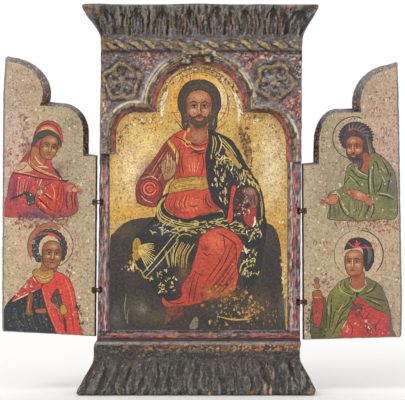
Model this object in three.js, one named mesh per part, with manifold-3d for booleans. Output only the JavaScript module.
// A small folding triptych icon: one carved block of wood with a cornice, a trefoil-arched
// recess, two rosettes and a fluted base, and two lobed wings hung on it by linked wire eyes.
// Millimetres, +Z up. The front faces -Y. X = 0 is the middle of the central panel, Y = 0 the
// front of its side borders, and Z = 0 the underside of the base.
import * as THREE from "three";
import { mergeVertices } from "three/addons/utils/BufferGeometryUtils.js";
import Module from "manifold-3d";

const wasm = await Module();
wasm.setup();

// ---------------------------------------------------------------- driving dimensions
const BOARD_THICKNESS = 15; // of the central panel behind its side borders
const WING_THICKNESS = 9;
const RECESS_DEPTH = 3; // from the borders down to the painted field
const ARCH_RISE = 3.2; // how far the arched upper part stands in front of the borders
const EDGE_WEAR = 0.8; // chamfer on the handled edges of the boards

const HEIGHT = 270; // underside to cornice top
const CORNICE_FOOT = 248.3;
const ROLL_FOOT = 238.8; // underside of the leaf roll below the cornice
const BASE_TOP = 36.2;
const FLARE_TOP = 22.5; // where the base starts to flare below its neck
const CORNICE_FRONT = -18;
const BASE_FRONT = -18;

// The panel's two sides lean a little: x at BASE_TOP and at CORNICE_FOOT.
const SIDE = {
  left: { low: -71.8, high: -68.7 },
  right: { low: 70.3, high: 71.6 },
};
const LEDGE = { left: 167.2, right: 161.5 }; // underside of the raised upper part, each side

// The trefoil arch. Every radius grows from the painted floor (step 0) through the level of
// the borders (step 1) to the front arris (step 2).
const ARCH = { x: 0, z: 199.2, rx: 30.1, rz: 30.5, growX: 4.9, growZ: 4.75 };
const LEFT_LOBE = { x: -45.2, z: 180.3, rx: 13.4, rz: 15.8, growX: 3.6, growZ: 3.5 };
const RIGHT_LOBE = { x: 45.1, z: 171.9, rx: 15.6, rz: 24.2, growX: 4, growZ: 2.3 };
// [depth, step] pairs down the reveal, from in front of the arris to the floor
const REVEAL = [
  [-ARCH_RISE - 1, 2.25],
  [-ARCH_RISE, 2],
  [-ARCH_RISE + 0.5, 1.85],
  [-ARCH_RISE + 1.6, 1.55],
  [0, 1],
  [RECESS_DEPTH, 0],
];

const FIELD = { left: -63.2, right: 61.6, foot: 43.6, bevel: 2.6 }; // the floor's straight part

const ROSETTE = { radius: 13.6, rise: 2.6, lobes: 5, turns: 45, rings: 7 };
const ROSETTES = [
  { x: -54.4, z: 217.6, turn: 0.3 },
  { x: 52.2, z: 217.3, turn: -0.2 },
];

const FLUTES = { count: 8, first: -64.5, pitch: 18.7, radius: 4.6, hollow: 0.62 };
const DARTS = { radius: 1.9, hollow: 0.75 };
const LEAVES = { count: 13, first: -62.5, pitch: 10.6, long: 6.6, wide: 2.5, proud: 1.9, lean: -0.62 };
const GOUGES = { count: 17, first: -75, pitch: 9.15, radius: 3.5, hollow: 0.5 };
const GOUGE_SIDES = 8;

// Hinges: a vertical axis in front of the border on each side, with two pairs of wire eyes.
const AXIS = { left: -71.8, right: 71.4, y: -0.8 };
const HINGE_HEIGHTS = { left: [133.4, 71.8], right: [127.3, 63.4] };
const WIRE = 0.8; // iron wire thickness
const EYE_RADIUS = 1.3; // of the wing's eye, to the middle of the wire
const STAPLE_HALF = 1.15; // half height of the panel's staple, to the middle of the wire
const NOTCH_DEPTH = 2.6;
const HOLE_DEPTH = 6.6; // how deep the wire's hole goes behind the front face
const PLAY = 0.4; // air around the wire in its hole

const LEFT_WING = {
  hinge: { topX: -71.9, topZ: 166.4, footX: -72.8, footZ: 38.9 },
  shoulder: { x: -78, z: 167.2 },
  low: { x: -96.3, z: 182.4, rx: 18.3, rz: 20.6 },
  cusp: 203.9,
  high: { x: -136.2, z: 209.7, rx: 31.6, rz: 25.9 },
  peak: { x: -134.9, z: 236.1 },
  rim: [[-136.6, 234.6], [-138.2, 211], [-138.7, 134.8], [-139, 44]],
  foot: { x: -138.2, z: 42.3 },
};
const RIGHT_WING = {
  hinge: { topX: 71.75, topZ: 160.6, footX: 72.4, footZ: 36.5 },
  shoulder: { x: 79.9, z: 161.3 },
  low: { x: 96.2, z: 174.7, rx: 16.1, rz: 24.4 },
  cusp: 199.2,
  high: { x: 134.7, z: 202.7, rx: 27.5, rz: 27.3 },
  peak: { x: 138.7, z: 232.1 },
  rim: [[139.3, 231], [140.1, 207.9], [142.4, 64.8], [142, 39.8]],
  foot: { x: 140.8, z: 38.3 },
};
// Width of the sloping edge around a wing's painted face, and how deep the slope goes
const BEVEL = { high: [5.3, 4], low: [3.6, 3.1], rim: 2, hinge: 0.9, foot: 1.1, deep: 5 };

// ---------------------------------------------------------------- solids and outlines
function solid(geometry) {
  const bare = geometry.clone();
  bare.deleteAttribute("normal");
  bare.deleteAttribute("uv");
  const merged = mergeVertices(bare, 1e-4);
  return new wasm.Manifold(
    new wasm.Mesh({
      numProp: 3,
      vertProperties: new Float32Array(merged.attributes.position.array),
      triVerts: new Uint32Array(merged.index.array),
    }),
  );
}

function geometryOf(manifold) {
  const mesh = manifold.getMesh();
  const geometry = new THREE.BufferGeometry();
  geometry.setAttribute("position", new THREE.BufferAttribute(mesh.vertProperties, 3));
  geometry.setIndex(new THREE.BufferAttribute(mesh.triVerts, 1));
  geometry.computeVertexNormals();
  return geometry;
}

// A closed solid through a stack of outlines with equal numbers of points. place turns a
// point of an outline and its level into a position.
function loft(outlines, levels, place) {
  const count = outlines[0].length;
  const positions = [];
  const index = [];
  outlines.forEach((outline, i) => {
    outline.forEach((point) => positions.push(...place(point, levels[i])));
  });
  for (let i = 0; i + 1 < outlines.length; i += 1) {
    for (let j = 0; j < count; j += 1) {
      const a = i * count + j;
      const b = i * count + ((j + 1) % count);
      index.push(a, b, a + count, b, b + count, a + count);
    }
  }
  const last = (outlines.length - 1) * count;
  for (const [a, b, c] of THREE.ShapeUtils.triangulateShape(outlines[0], [])) {
    index.push(a, c, b);
  }
  for (const [a, b, c] of THREE.ShapeUtils.triangulateShape(outlines.at(-1), [])) {
    index.push(last + a, last + b, last + c);
  }
  const geometry = new THREE.BufferGeometry();
  geometry.setAttribute("position", new THREE.Float32BufferAttribute(positions, 3));
  geometry.setIndex(index);
  return solid(geometry);
}

const anticlockwise = (outline) =>
  THREE.ShapeUtils.area(outline) > 0 ? outline : [...outline].reverse();

// Outlines drawn in the XZ plane, stacked from the back (+Y) to the front
function carvedFromFront(outlines, depths) {
  const order = depths.map((_, i) => i).sort((i, j) => depths[j] - depths[i]);
  return loft(
    order.map((i) => anticlockwise(outlines[i])),
    order.map((i) => depths[i]),
    (point, y) => [point.x, y, point.y],
  );
}

// Rectangles {left, right, front} stacked upwards, all with a flat back
function stackedBlock(rings) {
  const outlines = rings.map(({ left, right, front }) => [
    new THREE.Vector2(left, front),
    new THREE.Vector2(right, front),
    new THREE.Vector2(right, BOARD_THICKNESS),
    new THREE.Vector2(left, BOARD_THICKNESS),
  ]);
  return loft(outlines, rings.map(({ z }) => z), (point, z) => [point.x, point.y, z]);
}

const arc = (c, rx, rz, from, to, steps) =>
  new THREE.EllipseCurve(c.x, c.z, rx, rz, from, to, to < from).getPoints(steps);

const at = (x, z) => new THREE.Vector2(x, z);

function moved(geometry, { scale = [1, 1, 1], turn = [0, 0, 0], to }) {
  const matrix = new THREE.Matrix4().compose(
    new THREE.Vector3(...to),
    new THREE.Quaternion().setFromEuler(new THREE.Euler(...turn)),
    new THREE.Vector3(...scale),
  );
  return solid(geometry.applyMatrix4(matrix));
}

const united = (solids) => solids.reduce((sum, next) => sum.add(next));

const sideX = (side, z) => {
  const share = (z - BASE_TOP) / (CORNICE_FOOT - BASE_TOP);
  return THREE.MathUtils.lerp(SIDE[side].low, SIDE[side].high, share);
};

// ---------------------------------------------------------------- the central panel
// The board's outline between two heights, moved in by an edge chamfer
function boardOutline(foot, top, inset) {
  return [
    at(sideX("left", foot) + inset, foot),
    at(sideX("right", foot) - inset, foot),
    at(sideX("right", top) - inset, top),
    at(sideX("left", top) + inset, top),
  ];
}

function board() {
  const foot = BASE_TOP - 2;
  const top = CORNICE_FOOT - 4;
  const outlines = [EDGE_WEAR, 0, 0, EDGE_WEAR].map((inset) => boardOutline(foot, top, inset));
  const back = BOARD_THICKNESS;
  return carvedFromFront(outlines, [0, EDGE_WEAR, back - EDGE_WEAR, back]);
}

// The raised upper part, with a ledge of its own height on each side
function upperPart() {
  const top = CORNICE_FOOT - 4;
  const outline = (inset) => [
    at(sideX("left", LEDGE.left) + inset, LEDGE.left),
    at(ARCH.x, LEDGE.left),
    at(ARCH.x, LEDGE.right),
    at(sideX("right", LEDGE.right) - inset, LEDGE.right),
    at(sideX("right", top) - inset, top),
    at(sideX("left", top) + inset, top),
  ];
  const outlines = [EDGE_WEAR, 0, 0].map(outline);
  return carvedFromFront(outlines, [-ARCH_RISE, -ARCH_RISE + EDGE_WEAR, 2]);
}

const grown = (lobe, step) => [lobe.rx + step * lobe.growX, lobe.rz + step * lobe.growZ];

// The trefoil at one step of the reveal: lower left lobe, upper lobe, lower right lobe
function trefoil(step) {
  const [rx, rz] = grown(ARCH, step);
  const [leftX, leftZ] = grown(LEFT_LOBE, step);
  const [rightX, rightZ] = grown(RIGHT_LOBE, step);
  const angleAt = (shoulder) => Math.asin((shoulder - ARCH.z) / rz);
  const foot = LEDGE.right - 8;
  return [
    at(LEFT_LOBE.x - leftX, foot),
    ...arc(LEFT_LOBE, leftX, leftZ, Math.PI, Math.PI / 2, 8),
    ...arc(ARCH, rx, rz, Math.PI - angleAt(LEFT_LOBE.z + leftZ), angleAt(RIGHT_LOBE.z + rightZ), 24),
    ...arc(RIGHT_LOBE, rightX, rightZ, Math.PI / 2, 0, 8),
    at(RIGHT_LOBE.x + rightX, foot),
  ];
}

function archRecess() {
  const outlines = REVEAL.map(([, step]) => trefoil(step));
  return carvedFromFront(outlines, REVEAL.map(([depth]) => depth));
}

// The straight-sided field below the ledges, with a bevel down from the borders
function fieldRecess() {
  const top = LEDGE.left + 0.01;
  const outline = (grow) => [
    at(FIELD.left - grow, FIELD.foot - grow),
    at(FIELD.right + grow, FIELD.foot - grow),
    at(FIELD.right + grow, LEDGE.right),
    at(ARCH.x + 20, LEDGE.right),
    at(ARCH.x + 20, top),
    at(FIELD.left - grow, top),
  ];
  const outlines = [0, FIELD.bevel, FIELD.bevel].map(outline);
  return carvedFromFront(outlines, [RECESS_DEPTH, 0, -ARCH_RISE - 1]);
}

const cornice = () =>
  stackedBlock([
    { z: ROLL_FOOT, left: -68.8, right: 71.5, front: -4.2 },
    { z: ROLL_FOOT + 1.2, left: -68.8, right: 71.5, front: -6.4 },
    { z: ROLL_FOOT + 4.8, left: -68.8, right: 71.5, front: -7.6 },
    { z: ROLL_FOOT + 8, left: -68.7, right: 71.6, front: -6.6 },
    { z: CORNICE_FOOT, left: SIDE.left.high, right: SIDE.right.high, front: -6.2 },
    { z: HEIGHT - 4, left: -80.4, right: 81.4, front: CORNICE_FRONT + 0.8 },
    { z: HEIGHT - 1.8, left: -81.2, right: 82.2, front: CORNICE_FRONT },
    { z: HEIGHT, left: -80, right: 81, front: CORNICE_FRONT + 1.2 },
  ]);

const base = () =>
  stackedBlock([
    { z: 0, left: -83.2, right: 77.6, front: BASE_FRONT + 1.4 },
    { z: 1.6, left: -84.8, right: 79.4, front: BASE_FRONT },
    { z: 4.2, left: -84.4, right: 80.2, front: BASE_FRONT + 0.2 },
    { z: 12, left: -79.9, right: 76.2, front: -12.6 },
    { z: FLARE_TOP, left: -74.3, right: 70.4, front: -7 },
    { z: 25.4, left: -73.9, right: 69.9, front: -5.6 },
    { z: 31, left: -73.9, right: 70, front: -5 },
    { z: 34.2, left: -73.6, right: 70.7, front: -5.8 },
    { z: BASE_TOP, left: -72, right: 70.4, front: -3.4 },
    { z: BASE_TOP + 1, left: -71.7, right: 70.2, front: 1 },
  ]);

// A round-ended gouge cut lying along a leaning face, from a low point to a high point
function gouge(low, high, radius, hollow) {
  const from = new THREE.Vector3(...low);
  const to = new THREE.Vector3(...high);
  const run = to.clone().sub(from);
  const cut = new THREE.CapsuleGeometry(radius, run.length(), 3, GOUGE_SIDES);
  cut.rotateY(Math.PI / GOUGE_SIDES);
  cut.scale(1, 1, hollow);
  const turn = new THREE.Quaternion().setFromUnitVectors(new THREE.Vector3(0, 1, 0), run.normalize());
  cut.applyQuaternion(turn);
  const middle = from.add(to).multiplyScalar(0.5);
  cut.translate(middle.x, middle.y, middle.z);
  return solid(cut);
}

// Hollow flutes under the cornice with a narrow dart between each two
function corniceCuts() {
  const fan = (x, share) => x * (1 + 0.13 * share);
  const onFace = (x, share, out) => [
    fan(x, share),
    THREE.MathUtils.lerp(-6.2, CORNICE_FRONT + 0.8, share) - out,
    THREE.MathUtils.lerp(CORNICE_FOOT, HEIGHT - 4, share),
  ];
  const cuts = [];
  for (let i = 0; i < FLUTES.count; i += 1) {
    const x = FLUTES.first + i * FLUTES.pitch;
    const shift = x - 1;
    cuts.push(gouge(onFace(shift, -0.05, 0.3), onFace(shift, 0.7, 0.3), FLUTES.radius, FLUTES.hollow));
    if (i + 1 < FLUTES.count) {
      const dart = x + FLUTES.pitch / 2;
      cuts.push(gouge(onFace(dart, 0.3, 0.1), onFace(dart, 0.72, 0.1), DARTS.radius, DARTS.hollow));
    }
  }
  return united(cuts);
}

// Leaning leaves side by side along the roll
function leaves() {
  const made = [];
  for (let i = 0; i < LEAVES.count; i += 1) {
    made.push(
      moved(new THREE.SphereGeometry(1, 8, 5), {
        scale: [LEAVES.long, LEAVES.proud, LEAVES.wide],
        turn: [0, -LEAVES.lean, 0],
        to: [LEAVES.first + i * LEAVES.pitch, -6.8, ROLL_FOOT + 4.6],
      }),
    );
  }
  return united(made);
}

function baseCuts() {
  const cuts = [];
  for (let i = 0; i < GOUGES.count; i += 1) {
    const x = GOUGES.first + i * GOUGES.pitch;
    const lean = (x + 2) * 0.06;
    cuts.push(gouge([x + lean, -17.6, 5.5], [x, -8.2, 20.5], GOUGES.radius, GOUGES.hollow));
  }
  return united(cuts);
}

// Height of a rosette over its ground: a knob, hollow petals with ribs between, a raised rim
function rosetteRise(share, angle) {
  const knob = Math.exp(-((share / 0.16) ** 2));
  const rib = Math.abs(Math.sin((angle * ROSETTE.lobes) / 2)) ** 6;
  const rim = Math.exp(-(((share - 0.86) / 0.16) ** 2));
  const body = 0.42 + 0.3 * rib * (share < 0.8 ? 1 : 0.5);
  return ROSETTE.rise * Math.min(1, body + 0.5 * knob + 0.58 * rim);
}

// A five-lobed flower as a solid of rings around its middle, its back sunk in the ground
function rosette({ x, z, turn }) {
  const rings = [];
  const levels = [];
  for (let i = 0; i <= ROSETTE.rings; i += 1) {
    const share = 1 - i / (ROSETTE.rings + 0.6);
    rings.push(share);
    levels.push(share);
  }
  const point = (share, j) => {
    const angle = (j / ROSETTE.turns) * 2 * Math.PI;
    const lobed = 1 + 0.075 * Math.cos(ROSETTE.lobes * angle);
    const r = ROSETTE.radius * lobed * share;
    return [angle, x + r * Math.cos(angle + turn), z + r * Math.sin(angle + turn)];
  };
  const ring = (share) =>
    Array.from({ length: ROSETTE.turns }, (_, j) => {
      const [angle, px, pz] = point(share, j);
      const spot = at(px, pz);
      spot.depth = -ARCH_RISE - rosetteRise(share, angle);
      return spot;
    });
  const back = ring(1).map((spot) => Object.assign(spot.clone(), { depth: -ARCH_RISE + 1 }));
  return loft([back, ...rings.map(ring)], [0, ...levels], (spot) => [spot.x, spot.depth, spot.y]);
}

// What is left of a small ornament at the crown of the arch: a chipped bar under the cornice
// and, below it, two stumps low enough to let the wings close over them
function brokenCrown() {
  const bar = [at(-11.5, 239.6), at(-12.6, 236.9), at(-5, 237.4), at(4, 236.8), at(10.5, 237.2), at(11, 239.6)];
  const leftStump = [at(-12, 237.5), at(-12.6, 231.8), at(-9.4, 230.4), at(-6.4, 232.2), at(-6, 237.5)];
  const rightStump = [at(3.4, 237.5), at(4, 232.4), at(7, 231.6), at(7.6, 237.5)];
  const raised = (outline, front) => carvedFromFront([outline, outline], [front, RECESS_DEPTH]);
  return raised(bar, -ARCH_RISE - 1.8).add(raised(leftStump, -1)).add(raised(rightStump, -1));
}

// The V-shaped notch at a board's front edge where the wire goes in, with its hole.
// out is +1 where the wood lies towards +X of the edge and -1 where it lies towards -X.
function wireSeat(edge, height, out) {
  const outline = [
    at(edge - out * 3, height + 2.1),
    at(edge + out * 3.2, height + 1.8),
    at(edge + out * 2.8, height - 1.9),
    at(edge - out * 3, height - 4.8),
  ];
  const notch = carvedFromFront([outline, outline], [NOTCH_DEPTH, -ARCH_RISE]);
  const hole = new THREE.BoxGeometry(WIRE + 2 * PLAY, HOLE_DEPTH, 2 * STAPLE_HALF + WIRE + 2 * PLAY);
  return notch.add(moved(hole, { to: [edge + out * 1.5, HOLE_DEPTH / 2, height] }));
}

function centralPanel() {
  const left = HINGE_HEIGHTS.left.map((z) => wireSeat(sideX("left", z), z, 1));
  const right = HINGE_HEIGHTS.right.map((z) => wireSeat(sideX("right", z), z, -1));
  return board()
    .add(upperPart())
    .subtract(archRecess())
    .subtract(fieldRecess())
    .add(cornice().subtract(corniceCuts()))
    .add(leaves())
    .add(base().subtract(baseCuts()))
    .add(united(ROSETTES.map(rosette)))
    .add(brokenCrown())
    .subtract(united([...left, ...right]));
}

// ---------------------------------------------------------------- the wings
// A wing's outline, moved in from its full size by a share (0 to 1) of its bevel.
// out is -1 for the left wing and +1 for the right one.
function wingOutline(wing, out, share) {
  const [highX, highZ] = BEVEL.high.map((width) => width * share);
  const [lowX, lowZ] = BEVEL.low.map((width) => width * share);
  const rim = BEVEL.rim * share;
  const hinge = BEVEL.hinge * share;
  const foot = BEVEL.foot * share;
  const { low, high } = wing;
  const cusp = wing.cusp - lowZ;
  const rise = Math.asin((cusp - high.z) / (high.rz - highZ));
  const quarter = out < 0 ? [0, Math.PI / 2] : [Math.PI, Math.PI / 2];
  const upper = out < 0 ? [rise, Math.PI / 2 - 0.12] : [Math.PI - rise, Math.PI / 2 + 0.12];
  return [
    at(wing.hinge.footX + out * hinge, wing.hinge.footZ + foot),
    at(wing.hinge.topX + out * hinge, wing.hinge.topZ - lowZ / 2),
    at(wing.shoulder.x + out * lowX, wing.shoulder.z - lowZ / 2),
    ...arc(low, low.rx - lowX, low.rz - lowZ, ...quarter, 9),
    ...arc(high, high.rx - highX, high.rz - highZ, ...upper, 12),
    at(wing.peak.x - out * rim * 0.4, wing.peak.z - highZ),
    ...wing.rim.map(([x, z], i) => at(x - out * rim, i ? z : z - highZ)),
    at(wing.foot.x - out * rim, wing.foot.z + foot),
  ];
}

function wingBoard(wing, out, side) {
  const shares = [1, 0, 0, 0.25];
  const depths = [0, BEVEL.deep, WING_THICKNESS - EDGE_WEAR, WING_THICKNESS];
  const blank = carvedFromFront(shares.map((share) => wingOutline(wing, out, share)), depths);
  const { topX, topZ, footX, footZ } = wing.hinge;
  const edgeAt = (z) => THREE.MathUtils.mapLinear(z, footZ, topZ, footX, topX);
  return blank.subtract(united(HINGE_HEIGHTS[side].map((z) => wireSeat(edgeAt(z), z, out))));
}

// ---------------------------------------------------------------- the wire eyes
// Wire of even thickness along points given as [x, y, z]
function wireAlong(points, steps) {
  const path = new THREE.CatmullRomCurve3(points.map((p) => new THREE.Vector3(...p)), false, "chordal");
  const section = new THREE.Shape(
    new THREE.EllipseCurve(0, 0, WIRE / 2, WIRE / 2, 0, 2 * Math.PI).getPoints(6).slice(0, 6),
  );
  return new THREE.ExtrudeGeometry(section, { steps, extrudePath: path, bevelEnabled: false });
}

// The panel's staple: one upright on the hinge axis and two arms back into the panel.
// Offsets from the axis, with x towards the panel.
function staple(axisX, z, holeX, out) {
  const hole = holeX - axisX;
  const arm = [
    [hole, HOLE_DEPTH - 1.2],
    [hole, 2.2],
    [hole * 0.55, AXIS.y + 1.1],
    [out * 0.12, AXIS.y + 0.12],
  ];
  const upper = arm.map(([x, y]) => [axisX + x, y, z + STAPLE_HALF]);
  const lower = [...arm].reverse().map(([x, y]) => [axisX + x, y, z - STAPLE_HALF]);
  const upright = [
    [axisX, AXIS.y, z + STAPLE_HALF * 0.55],
    [axisX, AXIS.y, z - STAPLE_HALF * 0.55],
  ];
  return wireAlong([...upper, ...upright, ...lower], 16);
}

// The wing's eye: a ring lying flat around the upright, with a shank back into the wing
function eye(axisX, z, holeX, out) {
  const hole = holeX - axisX;
  const points = [
    [axisX + hole, HOLE_DEPTH - 1.2, z],
    [axisX + hole, 2.2, z],
    [axisX + hole * 0.9, 0.9, z],
  ];
  for (let i = 0; i <= 8; i += 1) {
    const angle = 0.35 + (i / 8) * 5.2;
    points.push([
      axisX + out * EYE_RADIUS * Math.cos(angle),
      AXIS.y - EYE_RADIUS * Math.sin(angle),
      z,
    ]);
  }
  return wireAlong(points, 18);
}

// ---------------------------------------------------------------- materials and nodes
const material = (color, roughness, metalness = 0) =>
  new THREE.MeshStandardMaterial({ color, roughness, metalness });

function node(name, geometry, finish) {
  const mesh = new THREE.Mesh(geometry, finish);
  mesh.name = name;
  return mesh;
}

function hinge(group, side, out) {
  const wing = out < 0 ? LEFT_WING : RIGHT_WING;
  const { topX, topZ, footX, footZ } = wing.hinge;
  HINGE_HEIGHTS[side].forEach((z, i) => {
    const place = `${side}_${i === 0 ? "upper" : "lower"}_hinge`;
    const panelHole = sideX(side, z) - out * 1.5;
    const wingHole = THREE.MathUtils.mapLinear(z, footZ, topZ, footX, topX) + out * 1.5;
    const onPanel = geometryOf(solid(staple(AXIS[side], z, panelHole, -out)));
    const onWing = geometryOf(solid(eye(AXIS[side], z, wingHole, out)));
    group.add(node(`${place}_panel_staple`, onPanel, material(0x2f2a26, 0.55, 0.9)));
    group.add(node(`${place}_wing_eye`, onWing, material(0x2f2a26, 0.55, 0.9)));
  });
}

const triptych = new THREE.Group();
triptych.add(node("central_panel", geometryOf(centralPanel()), material(0x8a6a3a, 0.6)));
triptych.add(node("left_wing", geometryOf(wingBoard(LEFT_WING, -1, "left")), material(0x9a8a6c, 0.6)));
triptych.add(node("right_wing", geometryOf(wingBoard(RIGHT_WING, 1, "right")), material(0x9a8a6c, 0.6)));
hinge(triptych, "left", -1);
hinge(triptych, "right", 1);

export default triptych;
